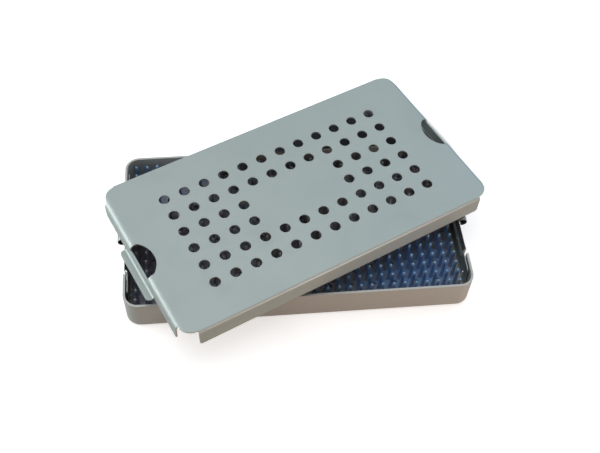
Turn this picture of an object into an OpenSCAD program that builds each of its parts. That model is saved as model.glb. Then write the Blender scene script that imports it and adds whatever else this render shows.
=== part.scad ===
// Instrument cassette: a shallow sheet tray with a finger mat in it, a perforated lid that
// lies askew on top, and a spring latch riveted inside each end wall.
// Millimetres, Z up, X along the tray, origin at the centre of the tray's underside.

/* [Tray] */
// Outside length of the tray
tray_l = 187; // [170:1:240]
// Outside width of the tray
tray_w = 100.5; // [96:0.5:130]
// Height of the tray, from its underside to its rim
tray_h = 20; // [19:0.5:26]
// Thickness of the tray's sheet
tray_t = 1.2; // [0.8:0.1:1.5]
// Outside radius of the tray's upright corners
tray_corner_r = 8; // [5:0.5:9]
// Outside radius where the walls turn into the floor
tray_base_r = 2.2; // [1.8:0.1:3]
// Width of the notch in each end wall
notch_w = 59; // [50:1:64]
// Depth of the notch below the rim
notch_d = 8; // [7:0.5:8.5]

/* [Perforations] */
// Diameter of each round hole in the lid and in the tray's floor
hole_d = 6; // [3:0.5:7]
// Spacing of the holes, centre to centre
hole_pitch = 12; // [9:0.5:14]
// Bare sheet kept at each end of the lid, up to the axes of the outer holes, at least
lid_end_margin = 26; // [20:1:34]
// Bare sheet kept along each long side of the lid, up to the axes of the outer holes, at least
lid_side_margin = 20; // [15:1:28]
// Length of the bare panel in the middle of the lid
blank_l = 42; // [20:1:80]
// Width of the bare panel in the middle of the lid
blank_w = 18; // [8:1:40]
// Bare floor kept at each end of the tray, up to the axes of the outer holes, at least
floor_end_margin = 23; // [12:1:34]
// Bare floor kept along each long side of the tray, up to the axes of the outer holes, at least
floor_side_margin = 16; // [12:1:26]

/* [Lid] */
// Thickness of the lid's sheet
lid_t = 1.4; // [0.8:0.1:1.6]
// Height of the lid, from its top to the lower edge of its flanges
lid_h = 11.5; // [9:0.5:13]
// Inside radius of the lid's bends
lid_bend_r = 0.8; // [0.5:0.1:1.5]
// Gap between the tray's end walls and the lid's end flanges when the lid is on
lid_end_gap = 0.35; // [0.2:0.05:1]
// Gap between the tray's long walls and the lid's long flanges when the lid is on
lid_side_gap = 0.9; // [0.2:0.05:1.5]
// Radius of the lid's corners, where no flange is
lid_corner_r = 7.6; // [5:0.2:10]
// Radius of the lower corners of each flange
flange_corner_r = 2; // [0.5:0.25:3]

/* [Lid ends] */
// Depth of the thumb cut-out, from the lid's end
cut_d = 9.2; // [6:0.2:11]
// Radius of the cut-out's round edge
cut_r = 14; // [12:0.5:20]
// How far the cut-out runs down the end flange
cut_drop = 3.5; // [2.4:0.1:4]
// Gap between each end of a latch's rolled finger and the cut-out
cut_side_gap = 1.3; // [0.3:0.1:1.8]
// Length of the lip below each cut-out
lip_l = 35; // [22:1:50]
// How far the lip stands out from the end flange
lip_out = 4; // [3.2:0.2:7]
// Radius of the lip's outer corners
lip_corner_r = 2.4; // [0.5:0.2:3]

/* [Latches] */
// Thickness of the latch's spring sheet
latch_t = 0.8; // [0.5:0.1:1]
// Bare wall kept between each side of the latch and the tray's round corner
latch_side_gap = 1.75; // [0.5:0.25:4]
// Height of the latch's lower edge above the tray's underside
latch_z = 4.5; // [3.5:0.25:5]
// Height of the riveted strip
strip_h = 5.8; // [5:0.2:6]
// Gap at the line where the latch bends, between its fixed strip and its moving leaf
flex_gap = 0.3; // [0.2:0.05:0.5]
// Gap between the leaf and the end wall
leaf_gap = 0.8; // [0.4:0.1:1.2]
// Height over which the leaf leaves the wall
leaf_kink_h = 1.6; // [1:0.1:1.8]
// How far the leaf's top edge lies below the rim
leaf_drop = 1; // [0.5:0.25:2]
// How far the middle of the leaf is pressed out into the notch
bulge_out = 1.5; // [0.5:0.1:1.6]
// Length of the slope at each side of the pressed-out middle
bulge_run = 3; // [2:0.5:5]
// Gap between the pressed-out middle and the edges of the notch
bulge_gap = 0.5; // [0.3:0.1:1.5]
// Outside diameter of the rolled finger
curl_d = 5; // [4:0.2:6]
// Length of the rolled finger
curl_l = 19; // [12:0.5:24]
// Height of the rolled finger's axis above the rim
curl_rise = 0.8; // [0:0.1:2]
// How far the rolled finger's axis lies outside the tray's end
curl_out = 0.6; // [0.4:0.1:1]
// Part of a full turn over which the sheet is rolled, in degrees
curl_turn = 285; // [200:5:310]

/* [Rivets] */
// Diameter of a rivet's shank
rivet_d = 2.4; // [1.6:0.1:3]
// Diameter of the domed head inside the tray
rivet_head_d = 4.2; // [3.4:0.1:4.8]
// Height of the domed head
rivet_head_h = 1.1; // [0.6:0.1:1.3]
// Diameter of the flush head in the outside of the wall
rivet_flush_d = 3.8; // [3.4:0.1:4.6]
// Distance from each side of the latch to its rivet
rivet_inset = 7; // [4:0.5:9]
// Clearance around a rivet in its holes
rivet_fit = 0.05; // [0.02:0.01:0.1]

/* [Finger mat] */
// Thickness of the mat's pad
pad_t = 1.6; // [1:0.1:2]
// Gap between the tray's floor and the mat
mat_seat_gap = 0.3; // [0.1:0.05:0.4]
// Gap between the mat and the latch that it lies nearer to
mat_end_gap = 0.95; // [0.6:0.05:4]
// Gap between the mat and the round foot of the long wall that it lies nearer to
mat_side_gap = 0.1; // [0.1:0.1:4]
// Radius of the mat's corners
pad_corner_r = 5; // [2:0.5:8]
// Spacing of the fingers, centre to centre
finger_pitch = 6; // [5:0.25:9]
// Height of a finger above the pad
finger_h = 14; // [6:0.5:14.5]
// Diameter of a finger where it meets the pad
finger_base_d = 2.3; // [1.6:0.1:3]
// Diameter of a finger's round tip
finger_tip_d = 1.6; // [1:0.1:1.6]
// Bare pad kept between the outer fingers' axes and the mat's edges, at least
finger_edge = 1.7; // [1.2:0.1:4]
// Diameter of each drain hole through the pad
drain_d = 2.8; // [1.5:0.1:3]
// Number of finger spacings from one drain hole to the next
drain_step = 2; // [1:1:4]
// How far the loose mat lies from the tray's middle along X
mat_shift_x = -0.35; // [-1:0.05:1]
// How far the loose mat lies from the tray's middle along Y
mat_shift_y = 1.2; // [-2:0.1:2]

/* [Lid at rest] */
// Angle by which the loose lid is turned on the tray, in degrees
lid_turn = 24.9; // [15:0.1:30]
// How far the lid's middle lies from the tray's middle along X
lid_shift_x = 2.4; // [-5:0.1:5]
// How far the lid's middle lies from the tray's middle along Y
lid_shift_y = 7.5; // [-10:0.1:10]
// Gap between the latches' rolled fingers and the flanges that lie on them
lid_seat_gap = 0.5; // [0.4:0.05:0.9]

/* [Hidden] */
$fn = 64;

LEFT = -1;
RIGHT = 1;
FRONT = -1;
REAR = 1;

// Overshoot of every cutting shape past the face that it cuts
past = 1;

// Tray: inner faces, and the height of the floor's upper side
wall_in_x = tray_l / 2 - tray_t;
wall_in_y = tray_w / 2 - tray_t;
floor_z = tray_t;
notch_z = tray_h - notch_d;

// Lid: outside size, outside bend radius and the widths of its flanges
lid_l = tray_l + 2 * (lid_end_gap + lid_t);
lid_w = tray_w + 2 * (lid_side_gap + lid_t);
lid_bend_out = lid_bend_r + lid_t;
corner_x = lid_l / 2 - lid_t - lid_corner_r;
corner_y = lid_w / 2 - lid_t - lid_corner_r;
lid_cols = count_in(lid_l - 2 * lid_end_margin, hole_pitch);
lid_rows = count_in(lid_w - 2 * lid_side_margin, hole_pitch);
cut_w = curl_l + 2 * cut_side_gap;

// Tray floor: how many holes fit
floor_cols = count_in(2 * wall_in_x - 2 * floor_end_margin, hole_pitch);
floor_rows = count_in(2 * wall_in_y - 2 * floor_side_margin, hole_pitch);

// Latch: its width, and the planes of the strip and the leaf as distances from the tray's middle
latch_w = tray_w - 2 * (tray_corner_r + latch_side_gap);
strip_in_x = wall_in_x - latch_t;
leaf_out_x = wall_in_x - leaf_gap;
leaf_in_x = leaf_out_x - latch_t;
strip_top = latch_z + strip_h;
leaf_z = strip_top + flex_gap;
leaf_top = tray_h - leaf_drop;
bulge_z = notch_z + bulge_gap;
bulge_half = notch_w / 2 - bulge_gap - bulge_run;
curl_x = tray_l / 2 + curl_out;
curl_z = tray_h + curl_rise;
neck_in_x = curl_x - curl_d / 2;

// Rivets: spacing of the two of a latch, and the middle of the strip's height
rivet_spacing = latch_w - 2 * rivet_inset;
rivet_z = latch_z + strip_h / 2;
flush_h = (rivet_flush_d - rivet_d) / 2;

// Mat: outline of the pad and how many fingers fit on it
pad_l = 2 * (leaf_in_x - mat_end_gap - abs(mat_shift_x));
pad_w = 2 * (wall_in_y - (tray_base_r - tray_t) - mat_side_gap - abs(mat_shift_y));
pad_z = floor_z + mat_seat_gap;
finger_cols = count_in(pad_l - 2 * finger_edge, finger_pitch);
finger_rows = count_in(pad_w - 2 * finger_edge, finger_pitch);

// Lid at rest: its lower edges lie just above the rolled fingers
lid_top_z = curl_z + curl_d / 2 + lid_seat_gap + lid_h;

// How many points at a spacing fit in a length
function count_in(length, pitch) = floor(length / pitch) + 1;

// Places of a row of points, centred on the origin
function row(count, pitch) = [for (i = [0:count - 1]) (i - (count - 1) / 2) * pitch];

// Extrudes a section in X and Z along Y
module along_y(length) {
    rotate([90, 0, 0]) linear_extrude(length, center = true) children();
}

// Extrudes a section in Y and Z along X
module along_x(length) {
    rotate([90, 0, 90]) linear_extrude(length, center = true) children();
}

// Rectangle with four round corners, centred on the origin
module round_rect(l, w, r) {
    square([l, w - 2 * r], center = true);
    square([l - 2 * r, w], center = true);
    for (x = [-1, 1], y = [-1, 1]) translate([x * (l / 2 - r), y * (w / 2 - r)]) circle(r);
}

// Rectangle below the X axis with its two upper corners rounded
module top_rounded(width, depth, r) {
    translate([-width / 2, -depth]) square([width, depth - r]);
    translate([-width / 2 + r, -depth]) square([width - 2 * r, depth]);
    for (s = [-1, 1]) translate([s * (width / 2 - r), -r]) circle(r);
}

// Rectangle below the X axis with its two lower corners rounded
module bottom_rounded(width, depth, r) {
    translate([0, -depth]) mirror([0, 1]) top_rounded(width, depth, r);
}

// Solid pan with round upright corners and a round lower edge, standing on the XY plane
module pan(l, w, h, corner_r, base_r) {
    along_x(l - 2 * corner_r) translate([0, h]) bottom_rounded(w, h, base_r);
    along_y(w - 2 * corner_r) translate([0, h]) bottom_rounded(l, h, base_r);
    for (x = [-1, 1], y = [-1, 1])
        translate([x * (l / 2 - corner_r), y * (w / 2 - corner_r), 0]) rotate_extrude() {
            square([corner_r - base_r, h]);
            translate([0, base_r]) square([corner_r, h - base_r]);
            translate([corner_r - base_r, base_r]) circle(base_r);
        }
}

// Tray: floor and walls of one sheet, notched at both ends and perforated
module tray() {
    color([0.66, 0.64, 0.60]) difference() {
        pan(tray_l, tray_w, tray_h, tray_corner_r, tray_base_r);
        translate([0, 0, floor_z])
            pan(2 * wall_in_x, 2 * wall_in_y, tray_h, tray_corner_r - tray_t, tray_base_r - tray_t);
        for (side = [LEFT, RIGHT]) {
            translate([side * tray_l / 2, 0, notch_z + notch_d])
                cube([4 * tray_t, notch_w, 2 * notch_d], center = true);
            for (s = [FRONT, REAR]) rivet_hole(side, s * rivet_spacing / 2);
        }
        for (x = row(floor_cols, hole_pitch), y = row(floor_rows, hole_pitch))
            translate([x, y, -past]) cylinder(h = tray_t + 2 * past, d = hole_d);
    }
}

// Lid in its own frame: origin at the middle of its top, flanges pointing down
module lid_sheet() {
    difference() {
        union() {
            intersection() {
                along_y(2 * corner_y) bent_channel(lid_l);
                along_x(lid_l + past) bottom_rounded(2 * corner_y, lid_h, flange_corner_r);
            }
            intersection() {
                along_x(2 * corner_x) bent_channel(lid_w);
                along_y(lid_w + past) bottom_rounded(2 * corner_x, lid_h, flange_corner_r);
            }
            for (x = [-1, 1], y = [-1, 1])
                translate([x * corner_x, y * corner_y, -lid_t]) cylinder(h = lid_t, r = lid_corner_r);
        }
        lid_holes();
        for (side = [LEFT, RIGHT]) {
            thumb_cut(side);
            translate([side * (lid_l - lid_t) / 2, 0, -lid_h])
                cube([lid_t + past, lip_l, 2 * lid_bend_out], center = true);
        }
    }
    for (side = [LEFT, RIGHT]) lip(side);
}

// Section of the lid's sheet: a top and two flanges with round bends
module bent_channel(width) {
    difference() {
        top_rounded(width, lid_h, lid_bend_out);
        translate([0, -lid_t]) top_rounded(width - 2 * lid_t, lid_h, lid_bend_r);
    }
}

// Holes of the lid, all but those in the bare panel
module lid_holes() {
    for (x = row(lid_cols, hole_pitch), y = row(lid_rows, hole_pitch))
        if (abs(x) > blank_l / 2 || abs(y) > blank_w / 2)
            translate([x, y, -lid_t - past]) cylinder(h = lid_t + 2 * past, d = hole_d);
}

// Cut-out in the lid's end: a wide arc between two short sides, running down into the flange
module thumb_cut(side) {
    depth = cut_drop + past;
    intersection() {
        translate([side * (lid_l / 2 - cut_d + cut_r), 0, -cut_drop]) cylinder(h = depth, r = cut_r);
        translate([0, 0, -cut_drop + depth / 2]) cube([2 * lid_l, cut_w, depth], center = true);
    }
}

// Lip that turns out from the lower edge of the end flange
module lip(side) {
    out_x = lid_l / 2 + lip_out;
    intersection() {
        mirror([side == LEFT ? 1 : 0, 0, 0]) along_y(lip_l) lip_section(out_x);
        translate([0, 0, -lid_h - past]) linear_extrude(lid_h) round_rect(2 * out_x, lip_l, lip_corner_r);
    }
}

// Section of the lip and of the bend that carries it
module lip_section(out_x) {
    bend_x = lid_l / 2 + lid_bend_r;
    bend_z = -lid_h + lid_bend_out;
    translate([bend_x, -lid_h]) square([out_x - bend_x, lid_t]);
    intersection() {
        translate([bend_x, bend_z]) difference() {
            circle(lid_bend_out);
            circle(lid_bend_r);
        }
        translate([bend_x - lid_bend_out, -lid_h]) square(lid_bend_out);
    }
}

// Lid where it lies: turned, a little off the middle, with its flanges on the latches
module lid() {
    color([0.70, 0.74, 0.73]) translate([lid_shift_x, lid_shift_y, lid_top_z])
        rotate([0, 0, lid_turn]) lid_sheet();
}

// Drawing for the right-hand latch, mirrored for the left-hand one
module on_side(side) {
    mirror([side == LEFT ? 1 : 0, 0, 0]) children();
}

// Lower strip of a latch, riveted flat to the end wall
module latch_strip(side) {
    color([0.72, 0.73, 0.72]) difference() {
        on_side(side) translate([strip_in_x, -latch_w / 2, latch_z]) cube([latch_t, latch_w, strip_h]);
        for (s = [FRONT, REAR]) rivet_hole(side, s * rivet_spacing / 2);
    }
}

// Springing leaf of a latch, with its rolled finger
module latch_leaf(side) {
    color([0.78, 0.79, 0.78]) on_side(side) {
        difference() {
            along_y(latch_w) leaf_section();
            translate([leaf_in_x - past, -bulge_half - bulge_run, bulge_z + bulge_out])
                cube([latch_t + leaf_gap + 2 * past, 2 * (bulge_half + bulge_run), tray_h]);
        }
        along_y(2 * bulge_half) bulge_section();
        translate([0, 0, bulge_z + bulge_out]) linear_extrude(leaf_top - bulge_z - bulge_out)
            for (s = [FRONT, REAR]) scale([1, s]) bulge_slope();
        along_y(curl_l) curl_section();
    }
}

// Section of the leaf: it kinks away from the wall and then stands upright
module leaf_section() {
    polygon([
        [strip_in_x, leaf_z], [wall_in_x, leaf_z],
        [leaf_out_x, leaf_z + leaf_kink_h], [leaf_out_x, leaf_top],
        [leaf_in_x, leaf_top], [leaf_in_x, leaf_z + leaf_kink_h]
    ]);
}

// Section of the leaf's middle, stepping out through the notch
module bulge_section() {
    polygon([
        [leaf_in_x, bulge_z], [leaf_out_x, bulge_z],
        [leaf_out_x + bulge_out, bulge_z + bulge_out], [leaf_out_x + bulge_out, leaf_top],
        [leaf_in_x + bulge_out, leaf_top], [leaf_in_x + bulge_out, bulge_z + bulge_out]
    ]);
}

// Plan of the slope that joins the leaf to its pressed-out middle
module bulge_slope() {
    polygon([
        [leaf_in_x + bulge_out, bulge_half], [leaf_out_x + bulge_out, bulge_half],
        [leaf_out_x, bulge_half + bulge_run], [leaf_in_x, bulge_half + bulge_run]
    ]);
}

// Section of the neck and of the sheet rolled over and down on the outside
module curl_section() {
    polygon([
        [leaf_in_x + bulge_out, leaf_top - past], [leaf_out_x + bulge_out, leaf_top - past],
        [leaf_out_x + bulge_out, leaf_top], [neck_in_x + latch_t, curl_z],
        [neck_in_x, curl_z], [leaf_in_x + bulge_out, leaf_top]
    ]);
    translate([curl_x, curl_z]) difference() {
        circle(d = curl_d);
        circle(d = curl_d - 2 * latch_t);
        polygon(concat([[0, 0]], [for (i = [0:6]) curl_gap_point(i / 6)]));
    }
}

// Point outside the rolled finger, across the part of the turn that is left open
function curl_gap_point(share) =
    let(a = 180 + share * (360 - curl_turn)) [curl_d * cos(a), curl_d * sin(a)];

// Hole for a rivet through the strip and the wall, opened out for its flush head
module rivet_hole(side, y) {
    on_side(side) translate([0, y, rivet_z]) rotate([0, 90, 0]) {
        translate([0, 0, strip_in_x - past]) cylinder(h = tray_t + latch_t + 2 * past, d = rivet_d + 2 * rivet_fit);
        translate([0, 0, tray_l / 2 - flush_h])
            cylinder(h = flush_h + rivet_fit, d1 = rivet_d + 2 * rivet_fit, d2 = rivet_flush_d + 4 * rivet_fit);
    }
}

// Rivet: domed head inside, shank, and a flush head in the outside of the wall
module rivet(side, end) {
    dome_r = (pow(rivet_head_d / 2, 2) + pow(rivet_head_h, 2)) / (2 * rivet_head_h);
    color([0.80, 0.80, 0.79]) on_side(side)
        translate([0, end * rivet_spacing / 2, rivet_z]) rotate([0, 90, 0]) {
            translate([0, 0, strip_in_x]) cylinder(h = tray_l / 2 - strip_in_x, d = rivet_d);
            translate([0, 0, tray_l / 2 - flush_h]) cylinder(h = flush_h, d1 = rivet_d, d2 = rivet_flush_d);
            intersection() {
                translate([0, 0, strip_in_x - rivet_head_h + dome_r]) sphere(dome_r);
                translate([0, 0, strip_in_x - rivet_head_h]) cylinder(h = rivet_head_h, d = rivet_head_d);
            }
        }
}

// One finger of the mat, standing on the XY plane
module finger() {
    tip_r = finger_tip_d / 2;
    cylinder(h = finger_h - tip_r, d1 = finger_base_d, d2 = finger_tip_d, $fn = 16);
    translate([0, 0, finger_h - tip_r]) sphere(tip_r, $fn = 16);
}

// Soft mat: a drained pad with a field of round-tipped fingers
module finger_mat() {
    color([0.16, 0.36, 0.66]) translate([mat_shift_x, mat_shift_y, pad_z]) {
        difference() {
            linear_extrude(pad_t) round_rect(pad_l, pad_w, pad_corner_r);
            for (x = row(floor((finger_cols - 1) / drain_step), drain_step * finger_pitch),
                 y = row(floor((finger_rows - 1) / drain_step), drain_step * finger_pitch))
                translate([x, y, -past]) cylinder(h = pad_t + 2 * past, d = drain_d, $fn = 16);
        }
        for (x = row(finger_cols, finger_pitch), y = row(finger_rows, finger_pitch))
            translate([x, y, pad_t]) finger();
    }
}

tray();
lid();
finger_mat();
latch_strip(LEFT);  // latch_strip_left
latch_strip(RIGHT);  // latch_strip_right
latch_leaf(LEFT);  // latch_leaf_left
latch_leaf(RIGHT);  // latch_leaf_right
rivet(LEFT, FRONT);  // rivet_left_front
rivet(LEFT, REAR);  // rivet_left_rear
rivet(RIGHT, FRONT);  // rivet_right_front
rivet(RIGHT, REAR);  // rivet_right_rear
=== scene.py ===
"""Looks of an instrument cassette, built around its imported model.

A shallow metal tray holds a silicone mat with a field of fingers. A perforated lid lies askew on the
tray, and a spring latch is riveted inside each end wall. Each sub-assembly is a class that takes its
overall sizes from the frame, builds fine meshes in their place and dresses them.

Lengths are in metres. Z is up, X runs along the tray, and -Y is the front.
"""

from __future__ import annotations

import logging
import math
from dataclasses import dataclass, field
from enum import Enum
from typing import Any, Callable, Iterable, Sequence

import bmesh
import bpy
from mathutils import Matrix, Quaternion, Vector

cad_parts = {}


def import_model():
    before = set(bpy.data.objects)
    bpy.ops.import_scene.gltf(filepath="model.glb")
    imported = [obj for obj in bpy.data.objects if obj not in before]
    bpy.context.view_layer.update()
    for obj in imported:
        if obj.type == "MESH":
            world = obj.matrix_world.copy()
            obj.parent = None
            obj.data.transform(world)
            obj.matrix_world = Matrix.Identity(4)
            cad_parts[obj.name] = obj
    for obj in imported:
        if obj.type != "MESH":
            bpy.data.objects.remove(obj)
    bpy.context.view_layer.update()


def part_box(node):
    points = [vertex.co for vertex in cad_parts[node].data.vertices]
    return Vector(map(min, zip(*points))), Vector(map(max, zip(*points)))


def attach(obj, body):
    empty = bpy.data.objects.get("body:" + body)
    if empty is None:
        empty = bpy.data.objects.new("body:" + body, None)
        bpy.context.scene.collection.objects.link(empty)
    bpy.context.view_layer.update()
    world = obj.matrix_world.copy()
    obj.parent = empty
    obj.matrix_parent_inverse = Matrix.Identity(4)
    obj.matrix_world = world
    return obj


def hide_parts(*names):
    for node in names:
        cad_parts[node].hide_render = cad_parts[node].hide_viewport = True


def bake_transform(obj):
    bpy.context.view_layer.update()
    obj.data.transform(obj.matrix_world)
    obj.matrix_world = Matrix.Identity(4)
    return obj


LOG = logging.getLogger("cassette")
MM = 0.001
LID_TURN = math.radians(24.9)

# Points closer than WELD are merged, faces flatter than FLAT_ANGLE are joined, edges sharper than
# EASED_ANGLE are rounded, and a cutting tool stands CLEARANCE out of what it cuts.
WELD = 0.002 * MM
CLEARANCE = 1 * MM
FLAT_ANGLE = math.radians(0.5)
EASED_ANGLE = math.radians(40.0)
SHEET_EASE = 0.16 * MM
VIEWING_RAYS = ("Camera", "Transmission")

Triple = tuple[float, float, float]
Colour = Triple
Point = tuple[float, float]


class End(Enum):
    """The two ends of the tray, as the sign of their X."""

    LEFT = -1
    RIGHT = 1

    @property
    def word(self) -> str:
        """Name of this end in the names of nodes and bodies."""
        return self.name.lower()


class Join(Enum):
    """How one solid is worked into another."""

    ADD = "UNION"
    CUT = "DIFFERENCE"
    KEEP = "INTERSECT"


class Along(Enum):
    """Direction in which a section is drawn out."""

    X = 0
    Y = 1
    Z = 2


# Shader and geometry graphs


class Signal:
    """Value of a shader socket, on which arithmetic adds Math nodes."""

    def __init__(self, graph: Graph, socket: bpy.types.NodeSocket) -> None:
        """Wraps an output socket of the graph that new nodes go into."""
        self.graph = graph
        self.socket = socket

    def _math(self, operation: str, first: Any, second: Any) -> Signal:
        """Adds one Math node that works on two values or signals."""
        return self.graph.add("ShaderNodeMath", {"operation": operation}, {0: first, 1: second})

    def __add__(self, other: Any) -> Signal:
        """This signal plus another value."""
        return self._math("ADD", self, other)

    __radd__ = __add__

    def __sub__(self, other: Any) -> Signal:
        """This signal minus another value."""
        return self._math("SUBTRACT", self, other)

    def __rsub__(self, other: Any) -> Signal:
        """Another value minus this signal."""
        return self._math("SUBTRACT", other, self)

    def __mul__(self, other: Any) -> Signal:
        """This signal times another value."""
        return self._math("MULTIPLY", self, other)

    __rmul__ = __mul__


class Graph:
    """A node tree and the one method that adds a node to it."""

    def __init__(self, tree: bpy.types.NodeTree) -> None:
        """Wraps the tree that nodes are added to."""
        self.tree = tree

    def add(
        self,
        kind: str,
        settings: dict[str, Any] | None = None,
        values: dict[int | str, Any] | None = None,
        output: int | str = 0,
    ) -> Signal:
        """Adds a node, with its settings made before its sockets are filled.

        Args:
            kind: The node's type.
            settings: Properties of the node, such as its operation.
            values: Values or signals for its inputs, by place or by name.
            output: Place or name of the output that is wanted.

        Returns:
            The wanted output.
        """
        node = self.tree.nodes.new(kind)
        for name, setting in (settings or {}).items():
            if name == "stops":
                self._fill_ramp(node.color_ramp, setting)
            else:
                setattr(node, name, setting)
        for key, value in (values or {}).items():
            self._fill(self._socket(node.inputs, key), value)
        return Signal(self, self._socket(node.outputs, output))

    @staticmethod
    def _socket(sockets: Any, key: int | str) -> bpy.types.NodeSocket:
        """Finds a socket by its place, or by its name among those in use.

        Args:
            sockets: A node's inputs or outputs.
            key: The socket's place or name.

        Returns:
            The socket.
        """
        if isinstance(key, int):
            return sockets[key]
        return next(s for s in sockets if s.name == key and s.enabled)

    def _fill(self, socket: bpy.types.NodeSocket, value: Any) -> None:
        """Links a signal to a socket, or sets the socket's own value.

        Args:
            socket: The input socket.
            value: A signal, number, colour, vector or data-block.
        """
        if isinstance(value, Signal):
            self.tree.links.new(value.socket, socket)
        elif socket.type == "RGBA" and len(value) == 3:
            socket.default_value = (*value, 1.0)
        else:
            socket.default_value = value

    @staticmethod
    def _fill_ramp(ramp: bpy.types.ColorRamp, stops: Sequence[tuple[float, Colour]]) -> None:
        """Gives a colour ramp its stops.

        Args:
            ramp: The ramp of a Color Ramp node.
            stops: Place and colour of each stop, in order.
        """
        while len(ramp.elements) < len(stops):
            ramp.elements.new(1.0)
        for element, (place, colour) in zip(ramp.elements, stops):
            element.position = place
            element.color = (*colour, 1.0)

    def ramp(self, signal: Signal, low: float, high: float) -> Signal:
        """Stretches the part of a signal between two levels smoothly over 0 to 1."""
        settings = {"interpolation_type": "SMOOTHSTEP", "clamp": True}
        return self.add("ShaderNodeMapRange", settings, {"Value": signal, "From Min": low, "From Max": high})

    def mix(self, share: Any, first: Any, second: Any) -> Signal:
        """Mixes a share of a second colour into a first one."""
        values = {"Factor": share, "A": first, "B": second}
        return self.add("ShaderNodeMix", {"data_type": "RGBA"}, values, "Result")


@dataclass(frozen=True)
class Patch:
    """Rectangle on the floor, with the width over which its sides fade inwards along X and Y."""

    low: Point
    high: Point
    soft: Point


class Surface(Graph):
    """The node tree of one material, with the patterns that the finishes share."""

    def __init__(self, name: str) -> None:
        """Makes an empty material.

        Args:
            name: The material's name.
        """
        self.material = bpy.data.materials.new(name)
        self.material.use_nodes = True
        super().__init__(self.material.node_tree)
        self.tree.nodes.clear()

    def place(self, turn: float = 0.0, stretch: Triple = (1.0, 1.0, 1.0)) -> Signal:
        """Gives the place on the piece, turned and stretched for a pattern.

        Args:
            turn: Angle about Z by which the pattern is turned with its piece.
            stretch: Factor on each axis, larger for a finer pattern.

        Returns:
            The coordinates.
        """
        here = self.add("ShaderNodeTexCoord", output="Object")
        turned = self.add("ShaderNodeMapping", {}, {"Vector": here, "Rotation": (0.0, 0.0, -turn)})
        return self.add("ShaderNodeMapping", {}, {"Vector": turned, "Scale": stretch})

    def noise(self, place: Signal, size: float, detail: float = 2.0, rough: float = 0.5) -> Signal:
        """Adds noise from 0 to 1, with patches of a size and finer layers of a detail and a strength."""
        values = {"Vector": place, "Scale": 1.0 / size, "Detail": detail, "Roughness": rough}
        return self.add("ShaderNodeTexNoise", {}, values, "Fac")

    def patches(
        self, place: Signal, size: float, span: Point, detail: float = 2.0, rough: float = 0.5
    ) -> Signal:
        """Adds noise of which only the levels in a span count, stretched over 0 to 1."""
        return self.ramp(self.noise(place, size, detail, rough), *span)

    def within(self, place: Signal, patch: Patch) -> Signal:
        """Tells which places lie in a patch.

        Args:
            place: Coordinates.
            patch: The patch.

        Returns:
            1 well inside the patch, 0 outside it.
        """
        share: Any = 1.0
        for axis, start, stop, fade in zip("XY", patch.low, patch.high, patch.soft):
            along = self.add("ShaderNodeSeparateXYZ", {}, {0: place}, axis)
            share = self.ramp(along, start, start + fade) * self.ramp(stop - along, 0.0, fade) * share
        return share

    def free(self, samples: int, reach: float, values: dict[str, Any] | None = None) -> Signal:
        """Tells how much of the space round a place is free within a reach, from 0 to 1."""
        inputs = {"Distance": reach, **(values or {})}
        return self.add("ShaderNodeAmbientOcclusion", {"samples": samples}, inputs, "AO")

    def bump(self, height: Signal, depth: float, strength: float) -> Signal:
        """Turns a pattern into a normal, with the height that 1 stands for and a strength."""
        values = {"Height": height, "Distance": depth, "Strength": strength}
        return self.add("ShaderNodeBump", {}, values)

    def finish(self, **values: Any) -> bpy.types.Material:
        """Closes the tree with a Principled shader.

        Args:
            **values: Its inputs, with underscores for the spaces in their names.

        Returns:
            The finished material.
        """
        named = {key.replace("_", " "): value for key, value in values.items()}
        shader = self.add("ShaderNodeBsdfPrincipled", {}, named)
        output = self.tree.nodes.new("ShaderNodeOutputMaterial")
        self.tree.links.new(shader.socket, output.inputs["Surface"])
        return self.material


# Finishes


@dataclass(frozen=True)
class AnodisedFinish:
    """Satin anodised aluminium sheet: matt grain, faint rolling marks, clouding, flecks and smudges."""

    name: str
    colour: Colour
    cloud_colour: Colour
    worn_colour: Colour = (0.52, 0.54, 0.53)
    turn: float = 0.0
    roughness: float = 0.50
    metallic: float = 0.30
    cloud_size: float = 55 * MM
    cloud_share: float = 0.75
    grain_size: float = 0.35 * MM
    grain_share: float = 0.10
    grain_depth: float = 0.012 * MM
    mark_length: float = 45 * MM
    mark_width: float = 0.45 * MM
    mark_share: float = 0.03
    smudge_size: float = 14 * MM
    fleck_size: float = 0.9 * MM
    fleck_share: float = 0.14

    def build(self) -> bpy.types.Material:
        """Makes the material.

        Returns:
            The material.
        """
        surface = Surface(self.name)
        place = surface.place(self.turn)
        marks_place = surface.place(self.turn, (self.mark_width / self.mark_length, 1.0, 1.0))
        cloud = surface.patches(place, self.cloud_size, (0.32, 0.70), 3.0, 0.55)
        grain = surface.noise(place, self.grain_size, 1.0)
        marks = surface.noise(marks_place, self.mark_width, 3.0, 0.6)
        smudge = surface.patches(place, self.smudge_size, (0.52, 0.72), 4.0, 0.6)
        fleck = surface.patches(place, self.fleck_size, (0.70, 0.78), 1.0)
        tinted = surface.mix(cloud * self.cloud_share, self.colour, self.cloud_colour)
        mark = surface.ramp(marks, 0.42, 0.68) * self.mark_share
        marked = surface.mix(mark, tinted, self.worn_colour)
        speck = fleck * self.fleck_share + surface.ramp(grain, 0.3, 0.7) * self.grain_share
        flecked = surface.mix(speck, marked, self.worn_colour)
        rough = self.roughness + 0.05 * (cloud - 0.5) + 0.07 * (grain - 0.5) + 0.06 * smudge - 0.02 * marks
        normal = surface.bump(grain * 0.85 + marks * 0.15, self.grain_depth, 0.7)
        return surface.finish(Base_Color=flecked, Metallic=self.metallic, Roughness=rough, Normal=normal)


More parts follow.
